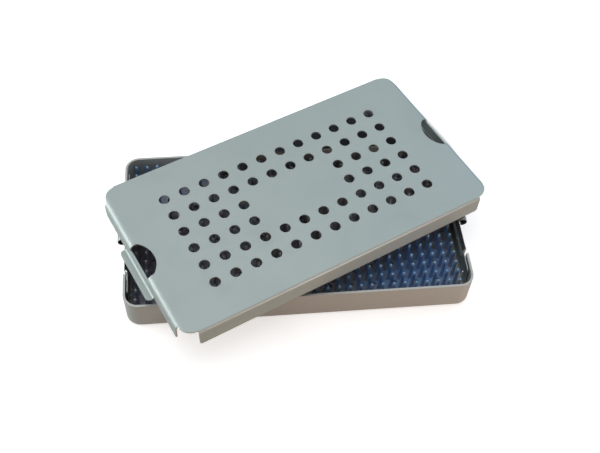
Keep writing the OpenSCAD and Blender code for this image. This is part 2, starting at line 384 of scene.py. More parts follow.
@dataclass(frozen=True)
class EdgeFinish:
    """Rubbed edge of the sheet, where the coating is thin and the metal shows brighter."""

    name: str
    colour: Colour
    bare_colour: Colour = (0.56, 0.57, 0.55)
    roughness: float = 0.42
    metallic: float = 0.45
    wear_size: float = 6 * MM
    wear_share: float = 0.6
    nick_size: float = 0.5 * MM
    nick_depth: float = 0.02 * MM

    def build(self) -> bpy.types.Material:
        """Makes the material.

        Returns:
            The material.
        """
        surface = Surface(self.name)
        place = surface.place()
        wear = surface.patches(place, self.wear_size, (0.38, 0.62), 4.0, 0.65)
        nicks = surface.noise(place, self.nick_size, 2.0)
        colour = surface.mix(wear * self.wear_share, self.colour, self.bare_colour)
        rough = self.roughness + 0.12 * (nicks - 0.5) - 0.08 * wear
        normal = surface.bump(nicks, self.nick_depth, 0.4)
        return surface.finish(Base_Color=colour, Metallic=self.metallic, Roughness=rough, Normal=normal)


@dataclass(frozen=True)
class SiliconeFinish:
    """Blue silicone with a soft moulded skin and a little dust, painted paler towards the finger tips
    as a painted highlight on their tops.

    Where little of the open side above it is free, its colour falls off to a dark grey: painted shade under
    the lid and between the fingers.
    """

    name: str
    pad_colour: Colour
    shaft_colour: Colour
    lit_tip_colour: Colour
    pad_top: float
    tip_top: float
    dust_colour: Colour = (0.40, 0.50, 0.62)
    shade_colour: Colour = (0.40, 0.38, 0.395)
    shade_reach: float = 60 * MM
    shade_samples: int = 16
    shade_span: Point = (0.08, 0.22)
    tip_shade: float = 0.28
    open_side: Triple = (0.40, -0.58, 0.71)
    roughness: float = 0.42
    skin_size: float = 0.5 * MM
    skin_depth: float = 0.02 * MM
    dust_size: float = 0.25 * MM
    dust_share: float = 0.18
    tint_size: float = 30 * MM
    tint_share: float = 0.15

    def build(self) -> bpy.types.Material:
        """Makes the material.

        Returns:
            The material.
        """
        surface = Surface(self.name)
        place = surface.place()
        height = surface.add("ShaderNodeSeparateXYZ", {}, {0: place}, "Z")
        span = {"Value": height, "From Min": self.pad_top, "From Max": self.tip_top}
        rise = surface.add("ShaderNodeMapRange", {"clamp": True}, span)
        # Colour by height, painted paler at the finger tips: a painted highlight on the tops.
        colours = (self.pad_colour, self.pad_colour, self.shaft_colour, self.lit_tip_colour)
        stops = list(zip((0.0, 0.35, 0.78, 0.96), colours))
        blue = surface.add("ShaderNodeValToRGB", {"stops": stops}, {0: rise}, "Color")
        tint = surface.patches(place, self.tint_size, (0.35, 0.65))
        tinted = surface.mix(tint * self.tint_share, blue, self.shaft_colour)
        dust = surface.patches(place, self.dust_size, (0.66, 0.74))
        dusted = surface.mix(dust * self.dust_share, tinted, self.dust_colour)
        # Painted shade: the colour falls to a dark grey where the space towards the open side is not free.
        open_side = surface.add("ShaderNodeCombineXYZ", {}, dict(zip("XYZ", self.open_side)))
        free = surface.free(self.shade_samples, self.shade_reach, {"Normal": open_side})
        tip = surface.ramp(rise, 0.8, 1.0)
        open_to_light = surface.ramp(free - self.tip_shade * tip, *self.shade_span)
        shaded = surface.mix(open_to_light, self.shade_colour, dusted)
        skin = surface.noise(place, self.skin_size, 3.0)
        rough = self.roughness + 0.14 * (skin - 0.5) + 0.2 * dust
        normal = surface.bump(skin, self.skin_depth, 0.35)
        return surface.finish(
            Base_Color=shaded, Roughness=rough, Normal=normal, IOR=1.41,
            Subsurface_Weight=0.35, Subsurface_Radius=(0.25, 0.6, 1.0), Subsurface_Scale=1.6 * MM,
        )


@dataclass(frozen=True)
class SpringFinish:
    """Brushed spring steel with a fine grain along the latch and a little heat tint in patches."""

    name: str
    colour: Colour
    tint_colour: Colour
    bright_colour: Colour = (0.50, 0.51, 0.50)
    roughness: float = 0.38
    metallic: float = 0.9
    brush_length: float = 30 * MM
    brush_width: float = 0.12 * MM
    brush_share: float = 0.22
    brush_depth: float = 0.006 * MM
    tint_size: float = 12 * MM
    tint_share: float = 0.35

    def build(self) -> bpy.types.Material:
        """Makes the material.

        Returns:
            The material.
        """
        surface = Surface(self.name)
        place = surface.place()
        brush_place = surface.place(0.0, (1.0, self.brush_width / self.brush_length, 1.0))
        brush = surface.noise(brush_place, self.brush_width, 3.0, 0.6)
        tint = surface.patches(place, self.tint_size, (0.45, 0.75), 3.0)
        colour = surface.mix(tint * self.tint_share, self.colour, self.tint_colour)
        bright = surface.ramp(brush, 0.35, 0.7) * self.brush_share
        brushed = surface.mix(bright, colour, self.bright_colour)
        rough = self.roughness + 0.16 * (brush - 0.5) + 0.05 * tint
        normal = surface.bump(brush, self.brush_depth, 0.5)
        return surface.finish(Base_Color=brushed, Metallic=self.metallic, Roughness=rough, Normal=normal)


@dataclass(frozen=True)
class RivetFinish:
    """Bright rivet metal with fine pits and a few scuffs."""

    name: str
    colour: Colour
    scuff_colour: Colour = (0.55, 0.54, 0.52)
    roughness: float = 0.18
    scuff_size: float = 0.6 * MM
    scuff_share: float = 0.4
    pit_size: float = 0.12 * MM
    pit_depth: float = 0.01 * MM

    def build(self) -> bpy.types.Material:
        """Makes the material.

        Returns:
            The material.
        """
        surface = Surface(self.name)
        place = surface.place()
        scuff = surface.patches(place, self.scuff_size, (0.5, 0.72), 4.0, 0.65)
        pits = surface.noise(place, self.pit_size, 2.0)
        colour = surface.mix(scuff * self.scuff_share, self.colour, self.scuff_colour)
        rough = self.roughness + 0.18 * scuff + 0.08 * (pits - 0.5)
        normal = surface.bump(pits, self.pit_depth, 0.3)
        return surface.finish(Base_Color=colour, Metallic=1.0, Roughness=rough, Normal=normal)


# Mesh helpers


def smooth(share: float) -> float:
    """Gives the height of a smooth step that rises from 0 to 1 as a share does."""
    held = min(1.0, max(0.0, share))
    return held * held * (3.0 - 2.0 * held)


def arc(centre: Point, radius: float, start: float, stop: float, steps: int) -> list[Point]:
    """Gives the points of an arc between two angles in degrees, one more than its steps."""
    angles = [math.radians(start + (stop - start) * i / steps) for i in range(steps + 1)]
    return [(centre[0] + radius * math.cos(a), centre[1] + radius * math.sin(a)) for a in angles]


def round_rectangle(length: float, width: float, radius: float, steps: int) -> list[Point]:
    """Gives the outline of a rectangle with round corners, centred on the origin.

    Args:
        length: Its size along the first axis.
        width: Its size along the second axis.
        radius: Radius of its corners.
        steps: Number of chords in each corner.

    Returns:
        The outline, anticlockwise.
    """
    points: list[Point] = []
    for side_x, side_y, start in ((1, 1, 0.0), (-1, 1, 90.0), (-1, -1, 180.0), (1, -1, 270.0)):
        centre = (side_x * (length / 2 - radius), side_y * (width / 2 - radius))
        points += arc(centre, radius, start, start + 90.0, steps)
    return points


def made_object(name: str, shape: bmesh.types.BMesh) -> bpy.types.Object:
    """Turns a bmesh into an object of the scene, with its faces pointing outwards.

    Args:
        name: The object's name.
        shape: The mesh, which is used up.

    Returns:
        The object.
    """
    bmesh.ops.recalc_face_normals(shape, faces=shape.faces[:])
    mesh = bpy.data.meshes.new(name)
    shape.to_mesh(mesh)
    shape.free()
    piece = bpy.data.objects.new(name, mesh)
    bpy.context.scene.collection.objects.link(piece)
    return piece


def drawn_out(
    name: str, section: Sequence[Point], along: Along, start: float, stop: float
) -> bpy.types.Object:
    """Draws a flat section out into a closed solid.

    Args:
        name: The object's name.
        section: Outline, in Y and Z along X, in X and Z along Y, or in X and Y along Z.
        along: Direction in which it is drawn out.
        start: Where the solid begins on that axis.
        stop: Where it ends.

    Returns:
        The solid.
    """
    shape = bmesh.new()
    rows = []
    for level in (start, stop):
        spots = [list(point) for point in section]
        for spot in spots:
            spot.insert(along.value, level)
        rows.append([shape.verts.new(spot) for spot in spots])
    close_rows(shape, rows)
    return made_object(name, shape)


def close_rows(shape: bmesh.types.BMesh, rows: Sequence[Sequence[bmesh.types.BMVert]]) -> None:
    """Joins rings of points with quads and caps the first and the last ring.

    Args:
        shape: The mesh that holds the points.
        rows: The rings, each with as many points.
    """
    for low, high in zip(rows, rows[1:]):
        for i in range(len(low)):
            j = (i + 1) % len(low)
            shape.faces.new((low[i], low[j], high[j], high[i]))
    shape.faces.new(list(reversed(rows[0])))
    shape.faces.new(rows[-1])


def lathed(name: str, profile: Sequence[Point], sides: int, along: Along) -> bpy.types.Object:
    """Turns a profile of radius and place round an axis, closed at both ends.

    Args:
        name: The object's name.
        profile: Radius and place along the axis of each ring, with a radius above 0.
        sides: Number of sides.
        along: The axis.

    Returns:
        The solid.
    """
    shape = bmesh.new()
    rows = []
    for radius, level in profile:
        ring = []
        for x, y in arc((0.0, 0.0), radius, 0.0, 360.0, sides)[:-1]:
            spot = [x, y]
            spot.insert(along.value, level)
            ring.append(shape.verts.new(spot))
        rows.append(ring)
    close_rows(shape, rows)
    return made_object(name, shape)


def box_solid(low: Sequence[float], high: Sequence[float]) -> bpy.types.Object:
    """Makes a plain block for cutting, from its lowest to its highest corner."""
    outline = [(low[0], low[1]), (high[0], low[1]), (high[0], high[1]), (low[0], high[1])]
    return drawn_out("block", outline, Along.Z, low[2], high[2])


def settle(piece: bpy.types.Object) -> bpy.types.Object:
    """Applies a piece's modifiers and leaves it a plain mesh.

    Args:
        piece: The piece.

    Returns:
        The same piece.
    """
    graph = bpy.context.evaluated_depsgraph_get()
    mesh = bpy.data.meshes.new_from_object(piece.evaluated_get(graph))
    mesh.name = piece.name
    piece.modifiers.clear()
    piece.data = mesh
    return piece


def worked(piece: bpy.types.Object, tool: bpy.types.Object, how: Join) -> bpy.types.Object:
    """Adds, cuts or keeps one solid with another, which is then removed.

    Args:
        piece: The solid that stays.
        tool: The solid that is used up.
        how: How they are joined.

    Returns:
        The piece.
    """
    modifier = piece.modifiers.new("work", "BOOLEAN")
    modifier.operation = how.value
    modifier.solver = "MANIFOLD"
    modifier.object = tool
    settle(piece)
    bpy.data.objects.remove(tool)
    return piece


def moved(piece: bpy.types.Object, matrix: Matrix) -> bpy.types.Object:
    """Moves a piece's mesh by a matrix and leaves its object at the origin."""
    piece.data.transform(matrix)
    return piece


def joined(name: str, parts: Sequence[bpy.types.Object]) -> bpy.types.Object:
    """Joins objects of one material into one.

    Args:
        name: The result's name.
        parts: The objects, which are used up.

    Returns:
        The joined object.
    """
    with bpy.context.temp_override(active_object=parts[0], selected_editable_objects=list(parts)):
        bpy.ops.object.join()
    parts[0].name = name
    return parts[0]


def eased(piece: bpy.types.Object, width: float, edge: bpy.types.Material | None = None) -> bpy.types.Object:
    """Rounds a piece's sharp edges a little and shades its curves smoothly.

    Args:
        piece: The piece.
        width: Width of the rounding.
        edge: Material of the rounded edges, where they have one of their own.

    Returns:
        The piece.
    """
    shape = bmesh.new()
    shape.from_mesh(piece.data)
    bmesh.ops.remove_doubles(shape, verts=shape.verts[:], dist=WELD)
    bmesh.ops.dissolve_limit(
        shape, angle_limit=FLAT_ANGLE, use_dissolve_boundaries=False,
        verts=shape.verts[:], edges=shape.edges[:],
    )
    shape.to_mesh(piece.data)
    shape.free()
    bevel = piece.modifiers.new("ease", "BEVEL")
    bevel.width = width
    bevel.segments = 2
    bevel.limit_method = "ANGLE"
    bevel.angle_limit = EASED_ANGLE
    bevel.miter_outer = "MITER_ARC"
    if edge is not None:
        piece.data.materials.append(edge)
        bevel.material = len(piece.data.materials) - 1
    settle(piece)
    return smoothed(piece)


def smoothed(piece: bpy.types.Object, angle: float = 38.0) -> bpy.types.Object:
    """Shades a piece smoothly, except over edges sharper than an angle.

    Args:
        piece: The piece.
        angle: The angle, in degrees.

    Returns:
        The piece.
    """
    piece.data.shade_smooth()
    piece.data.set_sharp_from_angle(angle=math.radians(angle))
    weights = piece.modifiers.new("weights", "WEIGHTED_NORMAL")
    weights.keep_sharp = True
    return settle(piece)


# Geometry Nodes


class Pattern(Graph):
    """A Geometry Nodes tree with named inputs for its sizes."""

    def __init__(self, name: str, sizes: dict[str, type]) -> None:
        """Makes the tree with its inputs.

        Args:
            name: The tree's name.
            sizes: Name and kind of each input, besides the geometry.
        """
        super().__init__(bpy.data.node_groups.new(name, "GeometryNodeTree"))
        kinds = {int: "NodeSocketInt", float: "NodeSocketFloat", Vector: "NodeSocketVector"}
        face = self.tree.interface
        face.new_socket("Geometry", in_out="INPUT", socket_type="NodeSocketGeometry")
        for size, kind in sizes.items():
            face.new_socket(size, in_out="INPUT", socket_type=kinds[kind])
        face.new_socket("Material", in_out="INPUT", socket_type="NodeSocketMaterial")
        face.new_socket("Geometry", in_out="OUTPUT", socket_type="NodeSocketGeometry")
        self.inputs = self.tree.nodes.new("NodeGroupInput")

    def given(self, name: str) -> Signal:
        """One of the tree's named inputs."""
        return Signal(self, self.inputs.outputs[name])

    def grid(self) -> Signal:
        """Makes a grid of points from the inputs Columns, Rows and Pitch.

        Returns:
            The grid, centred on the origin.
        """
        columns, rows, pitch = self.given("Columns"), self.given("Rows"), self.given("Pitch")
        values = {0: (columns - 1) * pitch, 1: (rows - 1) * pitch, 2: columns, 3: rows}
        return self.add("GeometryNodeMeshGrid", {}, values)

    def placed(self, geometry: Signal) -> Signal:
        """Moves geometry to the input Centre."""
        return self.add("GeometryNodeTransform", {}, {0: geometry, "Translation": self.given("Centre")})

    def close(self, geometry: Signal) -> None:
        """Ends the tree with plain, painted geometry.

        Args:
            geometry: What the tree has made.
        """
        plain = self.add("GeometryNodeRealizeInstances", {}, {0: geometry})
        painted = self.add("GeometryNodeSetMaterial", {}, {0: plain, "Material": self.given("Material")})
        output = self.tree.nodes.new("NodeGroupOutput")
        self.tree.links.new(painted.socket, output.inputs["Geometry"])

    def apply(self, piece: bpy.types.Object, **values: Any) -> bpy.types.Object:
        """Runs the tree on a piece and keeps the result as a plain mesh.

        Args:
            piece: The piece.
            **values: The inputs, with underscores for the spaces in their names.

        Returns:
            The piece.
        """
        modifier = piece.modifiers.new(self.tree.name, "NODES")
        modifier.node_group = self.tree
        identifiers = {
            item.name: item.identifier
            for item in self.tree.interface.items_tree
            if item.item_type == "SOCKET" and item.in_out == "INPUT"
        }
        for key, value in values.items():
            modifier[identifiers[key.replace("_", " ")]] = value
        return settle(piece)


def perforation() -> Pattern:
    """Builds the pattern that punches a grid of round holes, all but those in a blank middle.

    Returns:
        The pattern.
    """
    pattern = Pattern("perforation", {
        "Columns": int, "Rows": int, "Pitch": float, "Hole": float, "Sides": int, "Depth": float,
        "Blank length": float, "Blank width": float, "Centre": Vector,
    })
    place = pattern.add("GeometryNodeInputPosition")
    inside = []
    for axis, size in (("X", "Blank length"), ("Y", "Blank width")):
        along = pattern.add("ShaderNodeSeparateXYZ", {}, {0: place}, axis)
        away = pattern.add("ShaderNodeMath", {"operation": "ABSOLUTE"}, {0: along})
        inside.append(pattern.add(
            "FunctionNodeCompare", {"operation": "LESS_THAN"}, {"A": away * 2, "B": pattern.given(size)},
        ))
    blank = pattern.add("FunctionNodeBooleanMath", {"operation": "AND"}, {0: inside[0], 1: inside[1]})
    spots = pattern.add(
        "GeometryNodeDeleteGeometry", {"domain": "POINT"}, {0: pattern.grid(), "Selection": blank},
    )
    radius = pattern.given("Hole") * 0.5
    punch = pattern.add("GeometryNodeMeshCylinder", {}, {
        "Vertices": pattern.given("Sides"), "Radius": radius, "Depth": pattern.given("Depth"),
    })
    punches = pattern.add("GeometryNodeInstanceOnPoints", {}, {"Points": spots, "Instance": punch})
    solid_punches = pattern.add("GeometryNodeRealizeInstances", {}, {0: pattern.placed(punches)})
    pattern.close(pattern.add(
        "GeometryNodeMeshBoolean", {"operation": "DIFFERENCE", "solver": "MANIFOLD"},
        {"Mesh 1": pattern.given("Geometry"), "Mesh 2": solid_punches},
    ))
    return pattern


def finger_field() -> Pattern:
    """Builds the pattern that sets a piece on every point of a grid, each leaning a little its own way.

    Returns:
        The pattern.
    """
    pattern = Pattern("finger field", {
        "Columns": int, "Rows": int, "Pitch": float, "Lean": float, "Seed": int, "Centre": Vector,
    })
    lean = pattern.given("Lean")
    unit = pattern.add(
        "FunctionNodeRandomValue", {"data_type": "FLOAT_VECTOR"},
        {0: (-1.0, -1.0, -1.0), 1: (1.0, 1.0, 1.0), "Seed": pattern.given("Seed")},
    )
    tilt = pattern.add("ShaderNodeVectorMath", {"operation": "SCALE"}, {0: unit, "Scale": lean})
    turn = pattern.add("FunctionNodeEulerToRotation", {}, {0: tilt})
    fingers = pattern.add("GeometryNodeInstanceOnPoints", {}, {
        "Points": pattern.grid(), "Instance": pattern.given("Geometry"), "Rotation": turn,
    })
    pattern.close(pattern.placed(fingers))
    return pattern


def facing_pairs() -> Pattern:
    """Builds the pattern that sets a piece at both ends of the tray, in pairs, facing outwards.

    Returns:
        The pattern.
    """
    pattern = Pattern("facing pairs", {"Reach": float, "Spacing": float, "Height": float})
    span = {0: pattern.given("Reach") * 2, 1: pattern.given("Spacing"), 2: 2, 3: 2}
    spots = pattern.add("GeometryNodeMeshGrid", {}, span)
    place = pattern.add("GeometryNodeInputPosition")
    along = pattern.add("ShaderNodeSeparateXYZ", {}, {0: place}, "X")
    left = pattern.add("FunctionNodeCompare", {"operation": "LESS_THAN"}, {"A": along, "B": 0.0})
    about = pattern.add("ShaderNodeCombineXYZ", {}, {"Z": left * math.pi})
    turn = pattern.add("FunctionNodeEulerToRotation", {}, {0: about})
    rivets = pattern.add("GeometryNodeInstanceOnPoints", {}, {
        "Points": spots, "Instance": pattern.given("Geometry"), "Rotation": turn,
    })
    lift = pattern.add("ShaderNodeCombineXYZ", {}, {"Z": pattern.given("Height")})
    pattern.close(pattern.add("GeometryNodeTransform", {}, {0: rivets, "Translation": lift}))
    return pattern


# Sub-assemblies


def bent_section(
    width: float, depth: float, thickness: float, inner_radius: float, steps: int = 8
) -> list[Point]:
    """Gives the section of a sheet bent down at both sides, with its top at height 0.

    Args:
        width: Outside width.
        depth: Height of the flanges.
        thickness: Thickness of the sheet.
        inner_radius: Inside radius of the bends.
        steps: Number of chords in each bend.

    Returns:
        The closed outline.
    """
    outer_radius = inner_radius + thickness
    bend = width / 2 - outer_radius
    outer = [(-width / 2, -depth)]
    outer += arc((-bend, -outer_radius), outer_radius, 180.0, 90.0, steps)
    outer += arc((bend, -outer_radius), outer_radius, 90.0, 0.0, steps)
    outer += [(width / 2, -depth)]
    inner = [(width / 2 - thickness, -depth)]
    inner += arc((bend, -outer_radius), inner_radius, 0.0, 90.0, steps)
    inner += arc((-bend, -outer_radius), inner_radius, 90.0, 180.0, steps)
    inner += [(-width / 2 + thickness, -depth)]
    return outer + inner


def foot_rounded(width: float, depth: float, radius: float, steps: int = 6) -> list[Point]:
    """Gives a rectangle below height 0 with its two lower corners rounded.

    Args:
        width: Its width.
        depth: Its depth.
        radius: Radius of the lower corners.
        steps: Number of chords in each corner.

    Returns:
        The outline.
    """
    side = width / 2 - radius
    outline = [(width / 2, CLEARANCE), (-width / 2, CLEARANCE)]
    outline += arc((-side, radius - depth), radius, 180.0, 270.0, steps)
    outline += arc((side, radius - depth), radius, 270.0, 360.0, steps)
    return outline


@dataclass
class Tray:
    """Shallow pan of one sheet, with round corners, a notch in each end wall and a perforated floor."""

    finish: bpy.types.Material
    edge: bpy.types.Material
    punching: Pattern
    thickness: float = 1.2 * MM
    corner_radius: float = 8.0 * MM
    foot_radius: float = 2.2 * MM
    notch_width: float = 59.0 * MM
    notch_depth: float = 8.0 * MM
    hole: float = 6.0 * MM
    pitch: float = 12.0 * MM
    columns: int = 12
    rows: int = 6
    rivet_hole: float = 2.5 * MM
    low: Vector = field(init=False)
    high: Vector = field(init=False)

    def __post_init__(self) -> None:
        """Takes the overall size from the frame."""
        self.low, self.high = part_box("tray")

    @property
    def length(self) -> float:
        """Outside length."""
        return self.high.x - self.low.x

    @property
    def width(self) -> float:
        """Outside width."""
        return self.high.y - self.low.y

    @property
    def height(self) -> float:
        """Height of the rim."""
        return self.high.z

    def _profile(self) -> list[Point]:
        """Gives inset and height of each ring, from the middle of the underside over the rim to the floor.

        Returns:
            The rings.
        """
        centre = (0.0, self.foot_radius)
        inner = self.foot_radius - self.thickness
        foot = [(self.foot_radius - x, z) for x, z in arc(centre, self.foot_radius, 270.0, 360.0, 6)]
        floor = [(self.foot_radius - x, z) for x, z in arc(centre, inner, 360.0, 270.0, 5)]
        return foot + [(0.0, self.height), (self.thickness, self.height)] + floor

    def _pan(self) -> bpy.types.Object:
        """Lofts the pan through its rings.

        Returns:
            The closed pan.
        """
        shape = bmesh.new()
        rows = []
        for inset, level in self._profile():
            radius = self.corner_radius - inset
            outline = round_rectangle(self.length - 2 * inset, self.width - 2 * inset, radius, 14)
            rows.append([shape.verts.new((x, y, level)) for x, y in outline])
        close_rows(shape, rows)
        return made_object("tray_sheet", shape)

    def build(self, rivet_spacing: float, rivet_height: float) -> bpy.types.Object:
        """Makes the tray.

        Args:
            rivet_spacing: Spacing of the two rivets at each end.
            rivet_height: Height of the rivets.

        Returns:
            The finished piece.
        """
        piece = self._pan()
        for end in End:
            wall = end.value * self.length / 2
            worked(piece, box_solid(
                (wall - 4 * self.thickness, -self.notch_width / 2, self.height - self.notch_depth),
                (wall + 4 * self.thickness, self.notch_width / 2, self.height + self.notch_depth),
            ), Join.CUT)
            for side in (-1, 1):
                drill = lathed("drill", [(self.rivet_hole / 2, -2 * self.thickness),
                                         (self.rivet_hole / 2, 2 * self.thickness)], 24, Along.X)
                place = Matrix.Translation((wall, side * rivet_spacing / 2, rivet_height))
                worked(piece, moved(drill, place), Join.CUT)
        self.punching.apply(
            piece, Columns=self.columns, Rows=self.rows, Pitch=self.pitch, Hole=self.hole, Sides=40,
            Depth=6 * self.thickness, Material=self.finish,
        )
        eased(piece, SHEET_EASE, self.edge)
        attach(piece, "tray_body")
        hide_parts("tray")
        return piece


@dataclass
class Lid:
    """Perforated sheet with four flanges, open corners, and a thumb cut-out and a lip at each end."""

    finish: bpy.types.Material
    edge: bpy.types.Material
    punching: Pattern
    tray: Tray
    turn: float = LID_TURN
    thickness: float = 0.85 * MM
    height: float = 11.5 * MM
    end_bend: float = 2.9 * MM
    side_bend: float = 0.95 * MM
    lip_bend: float = 1.35 * MM
    end_reach: float = 1.75 * MM
    side_reach: float = 2.3 * MM
    corner_radius: float = 7.6 * MM
    corner_inset: float = 1.4 * MM
    flange_radius: float = 1.5 * MM
    cut_depth: float = 9.2 * MM
    cut_radius: float = 14.0 * MM
    cut_half_width: float = 10.8 * MM
    cut_corner: float = 2.5 * MM
    cut_drop: float = 3.5 * MM
    lip_length: float = 35.0 * MM
    lip_reach: float = 4.0 * MM
    lip_radius: float = 2.4 * MM
    lip_overlap: float = 0.6 * MM
    hole: float = 6.0 * MM
    pitch: float = 12.0 * MM
    columns: int = 12
    rows: int = 6
    blank_length: float = 42.0 * MM
    blank_width: float = 18.0 * MM

    @property
    def length(self) -> float:
        """Outside length."""
        return self.tray.length + 2 * self.end_reach

    @property
    def width(self) -> float:
        """Outside width."""
        return self.tray.width + 2 * self.side_reach

    @property
    def lip_level(self) -> float:
        """Height at which the lip's bend begins, below the lid's top."""
        return self.lip_bend + self.thickness - self.height

    def _section(self, along: Along, width: float) -> list[Point]:
        """Gives the section across the bends, which are wide at the ends and tight at the sides."""
        bend = self.end_bend if along is Along.Y else self.side_bend
        return bent_section(width, self.height, self.thickness, bend)

    def _channel(self, along: Along, reach: float, width: float) -> bpy.types.Object:
        """Makes the sheet with one pair of flanges.

        Args:
            along: Direction in which the flanges run.
            reach: Half the length of the flanges.
            width: Outside width across them.

        Returns:
            The bent sheet.
        """
        piece = drawn_out("channel", self._section(along, width), along, -reach, reach)
        across = Along.X if along is Along.Y else Along.Y
        trim = foot_rounded(2 * reach, self.height, self.flange_radius)
        return worked(piece, drawn_out("trim", trim, across, -width, width), Join.KEEP)

    def _plate(self, reach_x: float, reach_y: float) -> bpy.types.Object:
        """Makes the flat sheet with its corners, which falls away at its rim as the bends do.

        Args:
            reach_x: Half its length.
            reach_y: Half its width.

        Returns:
            The sheet.
        """
        outline = round_rectangle(2 * reach_x, 2 * reach_y, self.corner_radius, 14)
        piece = drawn_out("plate", outline, Along.Z, -self.thickness, 0.0)
        for along, width in ((Along.Y, self.length), (Along.X, self.width)):
            section = self._section(along, width)
            crown = section[:len(section) // 2]
            worked(piece, drawn_out("crown", crown, along, -self.length, self.length), Join.KEEP)
        return piece

    def _thumb_cut(self, end: End) -> bpy.types.Object:
        """Makes the tool that cuts the end of the sheet, an arc that rounds into two short sides.

        Args:
            end: Which end it cuts.

        Returns:
            The tool.
        """
        centre = self.length / 2 - self.cut_depth + self.cut_radius
        corner_y = self.cut_half_width - self.cut_corner
        back = math.sqrt((self.cut_radius - self.cut_corner) ** 2 - corner_y**2)
        swing = math.degrees(math.atan2(corner_y, back))
        outline = arc((centre, 0.0), self.cut_radius, 180.0 - swing, 180.0 + swing, 32)
        outline += arc((centre - back, -corner_y), self.cut_corner, 180.0 + swing, 270.0, 6)
        outline += [(self.length, -self.cut_half_width), (self.length, self.cut_half_width)]
        outline += arc((centre - back, corner_y), self.cut_corner, 90.0, 180.0 - swing, 6)[:-1]
        placed = [(end.value * x, y) for x, y in outline]
        return drawn_out("thumb", placed, Along.Z, -self.cut_drop, self.height)

    def _lip(self, end: End) -> bpy.types.Object:
        """Makes the lip that turns outwards from the foot of the end flange.

        Args:
            end: Which end it is at.

        Returns:
            The lip with its bend.
        """
        face = self.length / 2
        tip = face + self.lip_reach
        bend = (face + self.lip_bend, self.lip_level)
        root = self.lip_level + self.lip_overlap
        section = [(face - self.thickness, root)]
        section += arc(bend, self.lip_bend + self.thickness, 180.0, 270.0, 8)
        section += [(tip, -self.height), (tip, self.thickness - self.height)]
        section += arc(bend, self.lip_bend, 270.0, 180.0, 8)
        section += [(face, root)]
        side = [(end.value * x, z) for x, z in section]
        piece = drawn_out("lip", side, Along.Y, -self.lip_length / 2, self.lip_length / 2)
        plan = round_rectangle(2 * tip, self.lip_length, self.lip_radius, 6)
        return worked(piece, drawn_out("plan", plan, Along.Z, -2 * self.height, 0.0), Join.KEEP)

    def build(self) -> bpy.types.Object:
        """Makes the lid and lays it where the frame has it.

        Returns:
            The finished piece.
        """
        reach_x = self.length / 2 - self.corner_inset - self.corner_radius
        reach_y = self.width / 2 - self.corner_inset - self.corner_radius
        piece = self._channel(Along.Y, reach_y, self.length)
        piece.name = "lid_sheet"
        worked(piece, self._channel(Along.X, reach_x, self.width), Join.ADD)
        worked(piece, self._plate(reach_x + self.corner_radius, reach_y + self.corner_radius), Join.ADD)
        for end in End:
            worked(piece, self._thumb_cut(end), Join.CUT)
            face = end.value * self.length / 2
            foot = box_solid((face - 2 * self.thickness, -self.lip_length / 2, -2 * self.height),
                             (face + 2 * self.thickness, self.lip_length / 2, self.lip_level))
            worked(piece, foot, Join.CUT)
            worked(piece, self._lip(end), Join.ADD)
        self.punching.apply(
            piece, Columns=self.columns, Rows=self.rows, Pitch=self.pitch, Hole=self.hole, Sides=48,
            Depth=6 * self.thickness, Blank_length=self.blank_length, Blank_width=self.blank_width,
            Material=self.finish,
        )
        eased(piece, SHEET_EASE, self.edge)
        low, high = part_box("lid")
        place = Vector(((low.x + high.x) / 2, (low.y + high.y) / 2, high.z))
        moved(piece, Matrix.Translation(place) @ Matrix.Rotation(self.turn, 4, "Z"))
        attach(piece, "lid_body")
        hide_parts("lid")
        return piece


